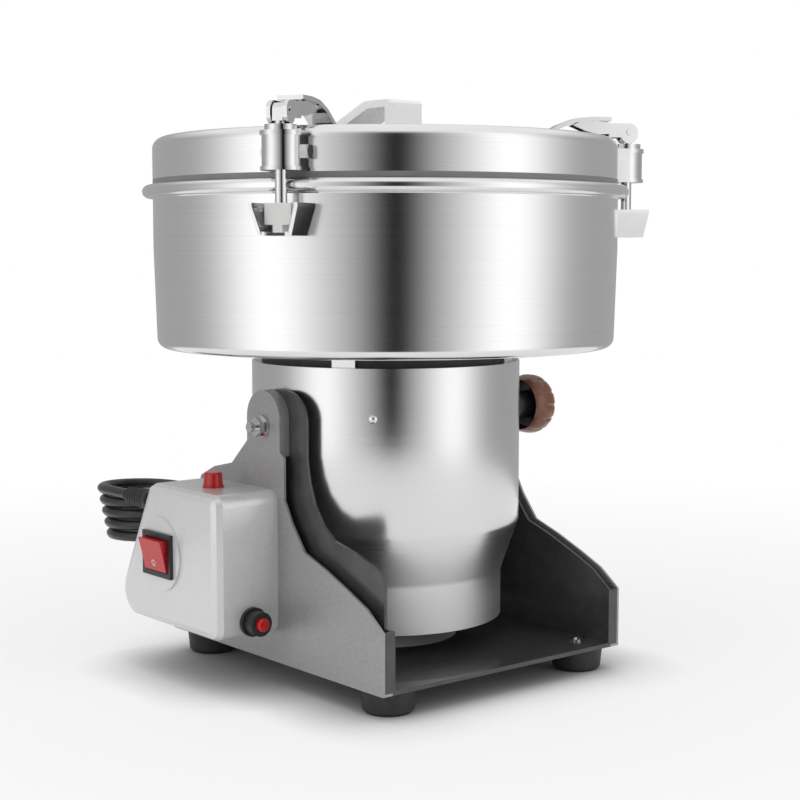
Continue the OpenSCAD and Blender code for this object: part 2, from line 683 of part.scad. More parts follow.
module bowl() color([0.86, 0.86, 0.87]) on_axis() translate([0, 0, bowl_z]) rotate_extrude($fn=160)
difference() {
    union() {
        square([bowl_r - bowl_corner_r, bowl_corner_r]);
        translate([0, bowl_corner_r]) square([bowl_r, bowl_h + rim_h - bowl_corner_r]);
        translate([bowl_r - bowl_corner_r, bowl_corner_r]) circle(bowl_corner_r, $fn=48);
        translate([bowl_r, bowl_h]) square([rim_out - rim_h / 4, rim_h]);
        translate([bowl_r, bowl_h + rim_h / 4]) square([rim_out, rim_h / 2]);
        for (z = [1, 3]) translate([rim_r - rim_h / 4, bowl_h + z * rim_h / 4]) circle(rim_h / 4, $fn=small_fn);
    }
    translate([-over, sheet_t]) square([bowl_r - sheet_t - bowl_corner_r + over, bowl_h + rim_h]);
    translate([-over, bowl_corner_r]) square([bowl_r - sheet_t + over, bowl_h + rim_h]);
    translate([bowl_r - bowl_corner_r, bowl_corner_r]) circle(bowl_corner_r - sheet_t, $fn=48);
    translate([-over, -over]) square([seal_r - seal_seat + over, sheet_t + 2 * over]);
    translate([bowl_r - bowl_corner_r, bowl_corner_r - over]) square([bowl_corner_r - sheet_t, 2 * over]);
}

module shaft_seal() color([0.15, 0.15, 0.16]) on_axis() difference() {
    rotate_extrude() translate([0, bowl_z + sheet_t]) polygon([[0, 0], [seal_r, 0], [seal_r, seal_h / 2],
        [seal_r - seal_lip, seal_h], [0, seal_h]]);
    translate([0, 0, bowl_z - over]) cylinder(h=seal_h + sheet_t + 2 * over, r=shaft_r + fit);
}

// Latch brackets on the bowl: an open-topped pocket for each rod's block

bracket_t = 2;
bracket_w = 28;
bracket_h = 17;
bracket_z = block_z + block_h - bracket_h;
bracket_low_w = 19;
slot_clear = 0.6;

module latch_brackets() color([0.82, 0.82, 0.83]) each_latch() difference() {
    union() {
        translate([0, 0, bracket_z]) rotate([90, 0, 90]) translate([0, 0, bowl_r - bracket_t])
            linear_extrude(2 * bracket_t) wing_outline(0);
        for (s = [0, 1]) mirror([0, s, 0]) hull() {
            translate([bowl_r, bracket_w / 2 - bracket_t, bracket_z + bracket_h - bracket_t])
                cube([bracket_reach, bracket_t, bracket_t]);
            translate([bowl_r, bracket_low_w / 2 - bracket_t, bracket_z])
                cube([0.9 * bracket_reach, bracket_t, bracket_t]);
        }
        translate([bowl_r, -bracket_low_w / 2, bracket_z]) cube([0.9 * bracket_reach, bracket_low_w, bracket_t]);
    }
    translate([0, 0, bracket_z - over]) cylinder(h=bracket_h + 2 * over, r=bowl_r + fit, $fn=160);
    translate([rod_at - rod_nut_af / 2 - slot_clear, -rod_nut_af / 2 / cos(30) - slot_clear, bracket_z - over])
        cube([bracket_reach, 2 * (rod_nut_af / 2 / cos(30) + slot_clear), bracket_t + 2 * over]);
}
module wing_outline(grow) polygon([[-bracket_low_w / 2 - grow, 0], [bracket_low_w / 2 + grow, 0],
    [bracket_w / 2 + grow, bracket_h], [-bracket_w / 2 - grow, bracket_h]]);

// Tilting axis

stud_end_l = 10;
knob_r = 19.5;
knob_from = cover_out + 8;
knob_l = 32;
stud_head_t = 2;
stud_head_r = 7;
stud_washer_t = 1.4;
stud_washer_r = 6.4;
stud_sink = 2.6;

module pivot_studs() color([0.75, 0.75, 0.76]) on_axis() translate([0, 0, pivot_z]) {
    along_x(-cover_out - stud_end_l, cover_out + stud_end_l - motor_r + stud_sink, stud_r);
    along_x(-motor_r + stud_sink, stud_head_t, stud_head_r);
    along_x(motor_r - stud_sink, knob_from + knob_l / 2 - motor_r + stud_sink, stud_r);
    along_x(motor_r - stud_sink - stud_head_t, stud_head_t, stud_head_r);
}
module pivot_nuts() color([0.85, 0.85, 0.86]) on_axis() translate([0, 0, pivot_z]) mirror([1, 0, 0])
difference() {
    union() {
        along_x(cover_out + gap, stud_washer_t, stud_washer_r);
        translate([cover_out + gap + stud_washer_t, 0, 0]) rotate([0, 90, 0]) hex(nut_af, nut_h);
    }
    along_x(cover_out, 2 * stud_end_l, stud_r + fit);
}
module knob_washer() color([0.8, 0.8, 0.8]) on_axis() translate([0, 0, pivot_z]) difference() {
    along_x(cover_out + gap, stud_washer_t, 1.4 * stud_washer_r);
    along_x(cover_out, 2 * stud_end_l, stud_r + fit);
}
hub_r = 9;
knob_wall = 3.5;
module lock_knob() color([0.36, 0.16, 0.07]) on_axis() translate([0, 0, pivot_z]) rotate([0, 90, 0])
difference() {
    union() {
        translate([0, 0, cover_out + 2 * gap + stud_washer_t])
            cylinder(h=knob_from - cover_out + knob_l / 2, r=hub_r);
        translate([0, 0, knob_from]) rotate_extrude() difference() {
            polygon([[0, 0], [0.86 * knob_r, 0], [knob_r, 0.25 * knob_l], [knob_r, 0.62 * knob_l],
                [0.94 * knob_r, 0.82 * knob_l], [0.78 * knob_r, 0.95 * knob_l], [0.5 * knob_r, knob_l],
                [0, knob_l]]);
            polygon([[0, -over], [0.86 * knob_r - knob_wall, -over], [knob_r - knob_wall, 0.3 * knob_l],
                [hub_r, 0.5 * knob_l],
                [0, 0.5 * knob_l]]);
        }
        translate([0, 0, knob_from]) cylinder(h=0.55 * knob_l, r=hub_r);
    }
    cylinder(h=knob_from + knob_l / 2 + over, r=stud_r + fit);
    for (k = [0:11]) rotate(30 * k) translate([1.07 * knob_r, 0, knob_from + 0.1 * knob_l])
        cylinder(h=knob_l, r=0.12 * knob_r, $fn=small_fn);
}

// Rotor and blades

blade_clear = 2;
blade_z = bowl_z + sheet_t + seal_h + blade_clear;
blade_t = 3;
blade_gap = 12;
lower_reach = 0.86 * bowl_r;
upper_reach = 0.66 * bowl_r;
blade_w = 24;
hub_w = 15;
tip_w = 8;
tip_l = 14;
bevel_in = 3;
shaft_end = 4;
thread_l = 14;
thread_r = shaft_r - 1;
thread_z = blade_z + 2 * blade_t + blade_gap;

module motor_shaft() color([0.75, 0.75, 0.77]) on_axis() {
    translate([0, 0, low_bearing_z - shaft_end]) cylinder(h=blade_z - low_bearing_z + shaft_end, r=shaft_r);
    translate([0, 0, low_bearing_z]) cylinder(h=thread_z + thread_l - low_bearing_z, r=thread_r);
}
module on_shaft(z, h, r, hole) on_axis() translate([0, 0, z]) difference() {
    cylinder(h=h, r=r);
    translate([0, 0, -over]) cylinder(h=h + 2 * over, r=hole + plate_gap);
}
rotor_slots = 12;
rotor_slot_r = 1.6;
module rotor_core() color([0.55, 0.35, 0.2]) difference() {
    on_shaft(stator_z, stator_h, rotor_r, shaft_r);
    on_axis() for (k = [1:rotor_slots]) rotate(360 * k / rotor_slots) translate([rotor_r, 0, stator_z - over])
        cylinder(h=stator_h + 2 * over, r=rotor_slot_r, $fn=small_fn);
}
module commutator() color([0.8, 0.5, 0.25]) on_shaft(commutator_z, commutator_h, commutator_r, shaft_r);

fan_r = 0.8 * motor_low_r;
fan_h = 14;
fan_gap = 3;
fan_z = low_bearing_z + bearing_h + fan_gap;
fan_blades = 9;
fan_t = 2;
fan_hub = 6;
module cooling_fan() color([0.2, 0.2, 0.2]) {
    on_shaft(fan_z, fan_t, fan_r, shaft_r);
    on_shaft(fan_z, fan_h, shaft_r + fan_hub, shaft_r);
    on_axis() for (k = [1:fan_blades]) rotate(360 * k / fan_blades)
        translate([shaft_r + fan_hub - fan_t, -fan_t / 2, fan_z]) cube([fan_r - shaft_r - fan_hub, fan_t, fan_h]);
}

// A two-winged blade with bevelled leading edges
module blade(reach, turn, z) on_axis() translate([0, 0, z]) rotate(turn) difference() {
    union() {
        cylinder(h=blade_t, r=hub_w);
        linear_extrude(blade_t) polygon([[-reach, -blade_w / 2 + tip_w], [-reach + tip_l, -blade_w / 2],
            [hub_w, -blade_w / 2], [reach, 0], [reach, blade_w / 2 - tip_w], [reach - tip_l, blade_w / 2],
            [-hub_w, blade_w / 2], [-reach, 0]]);
    }
    translate([0, 0, -over]) cylinder(h=blade_t + 2 * over, r=thread_r + plate_gap);
    for (s = [0, 180]) rotate(s) translate([hub_w, blade_w / 2 - bevel_in, blade_t]) rotate([-30, 0, 0])
        cube([reach, 2 * blade_t, 2 * blade_t]);
}
module lower_blade() color([0.8, 0.8, 0.82]) blade(lower_reach, 20, blade_z);
module upper_blade() color([0.8, 0.8, 0.82]) blade(upper_reach, 110, blade_z + blade_t + blade_gap);
module blade_spacer() color([0.7, 0.7, 0.7]) on_shaft(blade_z + blade_t, blade_gap, 2.2 * thread_r, thread_r);
blade_nut_h = 9;
cap_t = 2;
module blade_nut() color([0.8, 0.8, 0.8]) on_axis() translate([0, 0, thread_z]) difference() {
    union() {
        hex(2 * nut_af, blade_nut_h);
        cylinder(h=thread_l + cap_t, r=0.8 * nut_af);
    }
    translate([0, 0, -over]) cylinder(h=thread_l + over + plate_gap, r=thread_r + plate_gap);
}

// Lid

lid_round = 4;

module lid_shell() color([0.86, 0.86, 0.87]) on_axis() translate([0, 0, lid_z]) rotate_extrude($fn=160)
difference() {
    union() {
        square([bowl_r, lid_h - lid_round]);
        square([bowl_r - lid_round, lid_h]);
        translate([bowl_r - lid_round, lid_h - lid_round]) circle(lid_round, $fn=48);
    }
    translate([-over, -over]) square([bowl_r - lid_round + over, lid_h - sheet_t + over]);
    translate([-over, -over]) square([bowl_r - sheet_t + over, lid_h - lid_round + over]);
    translate([bowl_r - lid_round, lid_h - lid_round]) circle(lid_round - sheet_t, $fn=48);
}
spigot_gap = 1;
spigot_r = bowl_r - sheet_t - spigot_gap;
inner_t = 1.2;
module lid_inner() color([0.84, 0.84, 0.85]) on_axis() translate([0, 0, lid_z]) rotate_extrude($fn=160) {
    square([bowl_r - sheet_t - plate_gap, inner_t]);
    translate([spigot_r - inner_t, -gasket_t - gap - spigot_h]) square([inner_t, gasket_t + gap + spigot_h]);
}
module lid_gasket() color([0.05, 0.05, 0.05]) on_axis() translate([0, 0, lid_z - gasket_t]) difference() {
    cylinder(h=gasket_t, r=bowl_r, $fn=160);
    translate([0, 0, -over]) cylinder(h=gasket_t + 2 * over, r=spigot_r + plate_gap, $fn=160);
}

handle_front = -19;
handle_back = 52;
handle_flat = 4;
foot_l = 12;
handle_edge = 2;
screw_in = 7.5;
module handle_side() polygon([[handle_front, 0], [handle_front, handle_h - handle_edge],
    [handle_front + handle_edge, handle_h], [handle_flat, handle_h],
    [handle_flat + 2 * handle_edge, handle_h - handle_edge / 2], [handle_back, handle_t],
    [handle_back + foot_l, handle_t], [handle_back + foot_l, 0], [handle_back - 2 * handle_t, 0],
    [handle_back - 2 * handle_t, handle_t / 2], [handle_flat - 0.3 * handle_t, handle_h - handle_t],
    [handle_front + handle_t, handle_h - handle_t], [handle_front + handle_t, 0.6 * handle_t],
    [handle_front + handle_t + foot_l, 0.6 * handle_t], [handle_front + handle_t + foot_l, 0]]);
front_screw_y = handle_front + handle_t + foot_l / 2;
back_screw_y = handle_back + screw_in;
module lid_handle() color([0.8, 0.8, 0.79]) on_axis() translate([0, 0, lid_top]) difference() {
    upright(-handle_w / 2, handle_w) handle_side();
    for (y = [front_screw_y, back_screw_y])
        translate([0, y, -over]) cylinder(h=handle_t + 2 * over, r=screw_r + fit, $fn=small_fn);
}
module handle_screws() color([0.8, 0.8, 0.8]) on_axis() translate([0, 0, lid_top])
    for (at = [[front_screw_y, 0.6 * handle_t], [back_screw_y, handle_t]]) translate([0, at[0], 0]) {
        cylinder(h=at[1] + fit, r=screw_r, $fn=small_fn);
        translate([0, 0, at[1] + fit]) cylinder(h=screw_head_h, r=0.75 * screw_head_r, $fn=small_fn);
    }

// Latches on the lid

module barrel_outline(grow) {
    translate([rod_at - barrel_lip, 0]) circle(barrel_r + grow, $fn=64);
    translate([bowl_r - lid_round, -barrel_r - grow])
        square([rod_at - barrel_lip - bowl_r + lid_round, 2 * (barrel_r + grow)]);
}
barrel_lip = 1;
module latch_housings() color([0.84, 0.84, 0.85]) each_latch() difference() {
    union() {
        translate([0, 0, lid_z]) linear_extrude(lip_t) barrel_outline(0.8 * barrel_lip);
        translate([0, 0, barrel_z]) linear_extrude(barrel_h) barrel_outline(0);
        translate([0, 0, plate_z]) linear_extrude(plate_t) barrel_outline(barrel_lip);
    }
    translate([0, 0, lid_z - over]) cylinder(h=lid_h + over, r=bowl_r + fit, $fn=160);
    translate([rod_at, 0, lid_z - over]) cylinder(h=lid_h, r=rod_r + fit);
    translate([bolt_at, 0, bolt_z]) rotate([90, 0, 0]) cylinder(h=2 * barrel_w, r=bolt_r + fit, center=true);
}
bolt_off = 4.2;
bolt_at = bowl_r + bolt_off;
bolt_z = barrel_z + barrel_h / 2;
bolt_r = 2;
bolt_af = 7;
bolt_head_h = 3;
module latch_cross_bolts() color([0.8, 0.8, 0.8]) each_latch() translate([bolt_at, 0, bolt_z])
rotate([90, 0, 0]) {
    translate([0, 0, -barrel_r - bolt_head_h]) cylinder(h=barrel_w + 2 * bolt_head_h, r=bolt_r);
    translate([0, 0, barrel_r]) hex(bolt_af, bolt_head_h);
    translate([0, 0, -barrel_r - bolt_head_h]) hex(bolt_af, bolt_head_h);
}
module latch_washers() color([0.85, 0.85, 0.86]) each_latch() translate([rod_at, 0, washer_z]) difference() {
    cylinder(h=washer_t, r=washer_r);
    translate([0, 0, -over]) cylinder(h=washer_t + 2 * over, r=rod_r + fit);
}

module latch_rod(i) color([0.84, 0.84, 0.85]) at_latch(i) {
    translate([rod_at, 0, block_z - nut_h]) cylinder(h=cam_z - block_z + nut_h - lever_pin_r, r=rod_r);
    translate([rod_at, 0, block_z - nut_h]) rotate(30) hex(rod_nut_af, nut_h);
    translate([rod_at - block_d / 2, -block_w / 2, block_z]) cube([block_d, block_w, block_h]);
    translate([rod_at - eye_w / 2, -eye_t / 2, washer_z + washer_t + latch_stroke + 2 * gap])
        cube([eye_w, eye_t, cam_z - washer_z - washer_t - latch_stroke - 2 * gap]);
    translate([rod_at, 0, cam_z]) rotate([90, 0, 0]) cylinder(h=eye_t, r=eye_w / 2, center=true);
    translate([rod_at, 0, cam_z]) rotate([90, 0, 0])
        cylinder(h=eye_t + 2 * (cheek_gap + lever_t + cheek_gap), r=lever_pin_r, center=true);
}
module latch_rod_1() latch_rod(0);
module latch_rod_2() latch_rod(1);
module latch_rod_3() latch_rod(2);

// The lever's side outline: first coordinate inward over the lid, second up from its pin
module cam_outline() difference() {
    union() {
        translate([0, -cam_off]) circle(cam_r);
        circle(cam_r);
        translate([0, lever_pin_r - cam_r]) square([grip_from + over, 2 * cam_r - lever_pin_r]);
        polygon(concat([[grip_from, cam_r]], lever_reach * web_share));
    }
    circle(lever_pin_r + fit);
}
module grip_outline() polygon(concat([[grip_from, cam_r + grip_t / 2]], lever_reach * grip_low_share,
    [[lever_reach, grip_end]],
    [[lever_reach, grip_end + 0.8 * grip_t]], lever_reach * grip_high_share, [[grip_from, cam_r + 1.5 * grip_t]]));
grip_from = 12;
grip_t = 2.4;
grip_end = -5.6;
grip_over = 1.5;
web_share = [[0.207, -0.022], [0.345, -0.026], [0.483, 0.009], [0.621, 0.069], [0.517, 0.112], [0.345, 0.114]];
grip_low_share = [[0.414, 0.114], [0.586, 0.093], [0.759, 0.031], [0.897, -0.052]];
grip_high_share = [[0.914, -0.01], [0.776, 0.072], [0.603, 0.136], [0.414, 0.155]];
hole_share = [0.345, 0.466, 0.586];
lever_hole_r = 1.6;
cheek_mid = eye_t / 2 + cheek_gap + lever_t / 2;
lever_w = 2 * (cheek_mid + lever_t / 2);
module latch_lever(i) color([0.86, 0.86, 0.87]) at_latch(i) translate([rod_at, 0, cam_z])
    rotate([90, 0, 180]) difference() {
        union() {
            for (s = [-1, 1]) translate([0, 0, s * cheek_mid - lever_t / 2]) linear_extrude(lever_t) cam_outline();
            translate([0, 0, -lever_w / 2 - grip_over]) linear_extrude(lever_w + 2 * grip_over) grip_outline();
        }
        for (k = hole_share) translate([k * lever_reach, 0, 0]) rotate([-90, 0, 0])
            cylinder(h=lever_w, r=lever_hole_r, $fn=small_fn);
    }
module latch_lever_1() latch_lever(0);
module latch_lever_2() latch_lever(1);
module latch_lever_3() latch_lever(2);

base_frame();
left_cover();
right_cover();
cover_standoffs();
rubber_feet();
foot_screws();
pivot_bushes();
control_box();
switch_frame();
pilot_lamp();
breaker_body();
cord_gland();
cord_lead();
cord_coil();
cord_tail();
plug_body();
plug_pins();
motor_housing();
motor_top_plate();
end_cover();
upper_bearing();
lower_bearing();
upper_bearing_carrier();
lower_bearing_carrier();
stator();
brush_holders();
gap_ring();
bowl_spacers();
bowl();
shaft_seal();
latch_brackets();
pivot_studs();
pivot_nuts();
motor_shaft();
rotor_core();
commutator();
cooling_fan();
lower_blade();
upper_blade();
blade_spacer();
blade_nut();
lid_shell();
lid_inner();
lid_gasket();
lid_handle();
handle_screws();
latch_housings();
latch_washers();
latch_cross_bolts();
latch_rod_1();
latch_rod_2();
latch_rod_3();
latch_lever_1();
latch_lever_2();
latch_lever_3();
switch_rocker();
reset_button();
lock_knob();
knob_washer();
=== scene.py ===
import math
import bmesh, bpy
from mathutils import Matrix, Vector


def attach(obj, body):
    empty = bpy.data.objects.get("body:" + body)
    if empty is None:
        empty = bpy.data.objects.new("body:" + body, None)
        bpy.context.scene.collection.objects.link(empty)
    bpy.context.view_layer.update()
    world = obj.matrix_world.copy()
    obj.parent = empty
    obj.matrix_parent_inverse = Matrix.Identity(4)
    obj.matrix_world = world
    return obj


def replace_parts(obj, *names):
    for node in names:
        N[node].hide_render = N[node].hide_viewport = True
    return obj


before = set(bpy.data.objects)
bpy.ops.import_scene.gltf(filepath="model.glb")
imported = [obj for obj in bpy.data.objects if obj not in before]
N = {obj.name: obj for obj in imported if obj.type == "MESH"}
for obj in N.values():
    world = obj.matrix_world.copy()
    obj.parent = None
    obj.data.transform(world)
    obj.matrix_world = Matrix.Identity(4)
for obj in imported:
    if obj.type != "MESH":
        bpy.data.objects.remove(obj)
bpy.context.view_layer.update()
SCENE = bpy.context.scene

# Lengths are in metres, except where a comment says millimetres. Bowl, lid and motor stand on
# the upright axis at y = AY, and the body tilts about the level line at y = AY and z = AXIS_Z.
AY = -0.00785
AXIS_Z = 0.151
TURN = 2 * math.pi
TINY = 0.00001
UX, UY = Vector((1, 0, 0)), Vector((0, 1, 0))

# ---------------------------------------------------------------- camera
AZ = math.radians(38.92)
DIST, HEIGHT, PITCH, YAW = 0.9910, 0.2549, math.radians(-5.43), math.radians(0.502)
LENS, SENSOR = 72.83, 36.0
cam_data = bpy.data.cameras.new("photo_view")
cam_data.lens, cam_data.sensor_width = LENS, SENSOR
cam = bpy.data.objects.new("photo_view", cam_data)
SCENE.collection.objects.link(cam)
cam.location = (-DIST * math.sin(AZ), -DIST * math.cos(AZ) + AY, HEIGHT)
cam.rotation_euler = (math.radians(90) + PITCH, 0, -AZ - YAW)
SCENE.camera = cam
SCENE.view_settings.view_transform = "Standard"


# ---------------------------------------------------------------- helpers
def link(name, mesh, body=None, mats=(), smooth=30):
    """Puts a mesh in the scene, shaded smooth up to an angle in degrees, and on its body."""
    o = bpy.data.objects.new(name, mesh)
    SCENE.collection.objects.link(o)
    for m in mats:
        mesh.materials.append(m)
    if smooth:
        mesh.shade_smooth()
        mesh.set_sharp_from_angle(angle=math.radians(smooth))
    if body:
        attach(o, body)
    return o


def ring(at, u, v, r, n):
    """n points on a circle of radius r round a point, in the plane of u and v."""
    return [at + r * (u * math.cos(TURN * k / n) + v * math.sin(TURN * k / n)) for k in range(n)]


def loft(name, rings, body=None, mats=(), caps=True, closed=False, smooth=30):
    """A skin over rings that have the same number of points."""
    bm = bmesh.new()
    rows = [[bm.verts.new(p) for p in points] for points in rings]
    n = len(rows[0])
    for i in range(len(rows) if closed else len(rows) - 1):
        a, b = rows[i], rows[(i + 1) % len(rows)]
        for j in range(n):
            bm.faces.new((a[j], a[(j + 1) % n], b[(j + 1) % n], b[j]))
    if caps and not closed:
        bm.faces.new(list(reversed(rows[0])))
        bm.faces.new(rows[-1])
    bmesh.ops.recalc_face_normals(bm, faces=bm.faces)
    mesh = bpy.data.meshes.new(name)
    bm.to_mesh(mesh)
    bm.free()
    return link(name, mesh, body, mats, smooth)


def turned(name, line, at, axis, body, mats, n):
    """A turned piece: line holds (radius, height) pairs along axis, from the point at."""
    w = Vector(axis).normalized()
    u = w.orthogonal().normalized()
    v = w.cross(u)
    rings = [ring(Vector(at) + w * h, u, v, r, n) for r, h in line]
    return loft(name, rings, body, mats)


# ---------------------------------------------------------------- nodes of a material
BUMP_DEPTH = 0.0002


def principled(name, color, rough, metal=0.0):
    m = bpy.data.materials.new(name)
    m.use_nodes = True
    m.diffuse_color = (*color, 1)
    b = m.node_tree.nodes["Principled BSDF"]
    b.inputs["Base Color"].default_value = (*color, 1)
    b.inputs["Roughness"].default_value = rough
    b.inputs["Metallic"].default_value = metal
    return m, m.node_tree, b


def coords(t):
    return t.nodes.new("ShaderNodeTexCoord").outputs["Object"]


def split(t, vec):
    """The x, y and z of a place, with y from the upright axis."""
    sep = t.nodes.new("ShaderNodeSeparateXYZ")
    t.links.new(vec, sep.inputs[0])
    return sep.outputs["X"], math_node(t, "SUBTRACT", sep.outputs["Y"], AY), sep.outputs["Z"]


def math_node(t, op, a, b=None):
    n = t.nodes.new("ShaderNodeMath")
    n.operation = op
    for i, x in enumerate((a, b)):
        if x is None:
            continue
        if isinstance(x, (int, float)):
            n.inputs[i].default_value = x
        else:
            t.links.new(x, n.inputs[i])
    return n.outputs[0]


def weighed(t, a, by_a, b, by_b):
    """a times by_a plus b times by_b."""
    return math_node(t, "ADD", math_node(t, "MULTIPLY", a, by_a), math_node(t, "MULTIPLY", b, by_b))


def noise(t, vec, scale, detail, rough):
    n = t.nodes.new("ShaderNodeTexNoise")
    n.inputs["Scale"].default_value = scale
    n.inputs["Detail"].default_value = detail
    n.inputs["Roughness"].default_value = rough
    t.links.new(vec, n.inputs["Vector"])
    return n.outputs["Fac"]


def span(t, fac, lo, hi, a=0.0, b=1.0):
    n = t.nodes.new("ShaderNodeMapRange")
    n.inputs["From Min"].default_value, n.inputs["From Max"].default_value = lo, hi
    n.inputs["To Min"].default_value, n.inputs["To Max"].default_value = a, b
    t.links.new(fac, n.inputs["Value"])
    return n.outputs["Result"]


def widened(t, fac, a=0.0, b=1.0):
    """A noise's usual range, from 0.3 to 0.7, spread from a to b."""
    return span(t, fac, 0.3, 0.7, a, b)


def blend_color(t, fac, a, b):
    n = t.nodes.new("ShaderNodeMix")
    n.data_type = "RGBA"
    t.links.new(fac, n.inputs["Factor"])
    for key, c in (("A", a), ("B", b)):
        s = [i for i in n.inputs if i.name == key and i.type == "RGBA"][0]
        s.default_value = (*c, 1)
    return [o for o in n.outputs if o.type == "RGBA"][0]


def bump(t, b, height, strength, distance=BUMP_DEPTH):
    n = t.nodes.new("ShaderNodeBump")
    n.inputs["Strength"].default_value = strength
    n.inputs["Distance"].default_value = distance
    t.links.new(height, n.inputs["Height"])
    t.links.new(n.outputs["Normal"], b.inputs["Normal"])


def seen_rays(t):
    """1 where the camera, a reflection or a look through glass meets the surface, else 0."""
    lp = t.nodes.new("ShaderNodeLightPath")
    first = math_node(t, "MAXIMUM", lp.outputs["Is Camera Ray"], lp.outputs["Is Glossy Ray"])
    return math_node(t, "MAXIMUM", first, lp.outputs["Is Transmission Ray"])


# ---------------------------------------------------------------- materials
FOOT_SATIN, FOOT_CLEAR = 0.045, 0.095


def spun_steel(name, color, rough, fine, strength, spread, satin=0.0):
    """Steel polished round the upright axis, so its scratches are rings, and duller by satin
    below FOOT_SATIN."""
    m, t, b = principled(name, color, rough, 1.0)
    x, y, z = split(t, coords(t))
    r = math_node(t, "SQRT", weighed(t, x, x, y, y))
    comb = t.nodes.new("ShaderNodeCombineXYZ")
    t.links.new(weighed(t, r, fine, x, 3.0), comb.inputs[0])
    t.links.new(weighed(t, z, fine, y, 3.0), comb.inputs[1])
    t.links.new(math_node(t, "MULTIPLY", x, 5.0), comb.inputs[2])
    lines = noise(t, comb.outputs[0], 1.0, 6, 0.7)
    cloud = noise(t, coords(t), 9.0, 3, 0.5)
    dull = widened(t, weighed(t, lines, 0.7, cloud, 0.3), rough - spread, rough + spread)
    low = span(t, z, FOOT_SATIN, FOOT_CLEAR, satin, 0.0)
    t.links.new(math_node(t, "ADD", dull, low), b.inputs["Roughness"])
    dark = tuple(c * 0.93 for c in color)
    t.links.new(blend_color(t, widened(t, lines), dark, color), b.inputs["Base Color"])
    bump(t, b, lines, strength)
    return m


def mottled(name, color, rough, metal, scale, strength, vary, coat=0.0):
    """An even surface with a fine grain: scale sets the grain, vary the change of tone."""
    m, t, b = principled(name, color, rough, metal)
    b.inputs["Coat Weight"].default_value = coat
    v = coords(t)
    big = noise(t, v, scale * 0.12, 3, 0.5)
    small = noise(t, v, scale, 5, 0.65)
    dark = tuple(c * (1 - vary) for c in color)
    lite = tuple(min(1, c * (1 + vary)) for c in color)
    t.links.new(blend_color(t, widened(t, big), dark, lite), b.inputs["Base Color"])
    t.links.new(widened(t, small, rough * 0.85, min(1, rough * 1.15)), b.inputs["Roughness"])
    bump(t, b, small, strength)
    return m


def hammered(name, color, rough):
    """Hammered paint: small uneven cells with paler middles."""
    m, t, b = principled(name, color, rough, 0.35)
    v = coords(t)
    cell = t.nodes.new("ShaderNodeTexVoronoi")
    cell.feature = "SMOOTH_F1"
    cell.inputs["Scale"].default_value = 700
    cell.inputs["Smoothness"].default_value = 0.6
    drift = t.nodes.new("ShaderNodeTexNoise")
    drift.inputs["Scale"].default_value = 160
    t.links.new(v, drift.inputs["Vector"])
    warp = t.nodes.new("ShaderNodeVectorMath")
    warp.operation = "MULTIPLY_ADD"
    t.links.new(drift.outputs["Color"], warp.inputs[0])
    warp.inputs[1].default_value = (0.004, 0.004, 0.004)
    t.links.new(v, warp.inputs[2])
    t.links.new(warp.outputs[0], cell.inputs["Vector"])
    far = cell.outputs["Distance"]
    dark = tuple(c * 0.9 for c in color)
    lite = tuple(min(1, c * 1.05) for c in color)
    t.links.new(blend_color(t, span(t, far, 0.1, 0.75), lite, dark), b.inputs["Base Color"])
    bump(t, b, far, 0.16, 0.0003)
    return m


def red_plastic(name, lens):
    m, t, b = principled(name, (0.55, 0.006, 0.01), 0.24)
    b.inputs["Coat Weight"].default_value = 0.15
    b.inputs["Coat Roughness"].default_value = 0.1
    b.inputs["Subsurface Weight"].default_value = 0.1
    b.inputs["Subsurface Scale"].default_value = 0.002
    v = coords(t)
    tone = widened(t, noise(t, v, 260 if lens else 600, 3, 0.5))
    t.links.new(blend_color(t, tone, (0.46, 0.004, 0.008), (0.6, 0.008, 0.012)),
                b.inputs["Base Color"])
    t.links.new(widened(t, noise(t, v, 1400, 3, 0.6), 0.16, 0.26), b.inputs["Roughness"])
    if lens:
        b.inputs["Transmission Weight"].default_value = 0.25
        # A faint painted glow of the lens's own, besides the light it lets through
        b.inputs["Emission Color"].default_value = (0.5, 0.01, 0.01, 1)
        b.inputs["Emission Strength"].default_value = 0.05
    return m


def bakelite():
    m, t, b = principled("bakelite", (0.19, 0.06, 0.022), 0.24)
    b.inputs["Coat Weight"].default_value = 0.4
    v = coords(t)
    tone = widened(t, noise(t, v, 60, 3, 0.5))
    t.links.new(blend_color(t, tone, (0.15, 0.045, 0.018), (0.21, 0.068, 0.028)),
                b.inputs["Base Color"])
    t.links.new(widened(t, noise(t, v, 900, 4, 0.6), 0.18, 0.32), b.inputs["Roughness"])
    bump(t, b, noise(t, v, 1500, 3, 0.6), 0.05)
    return m


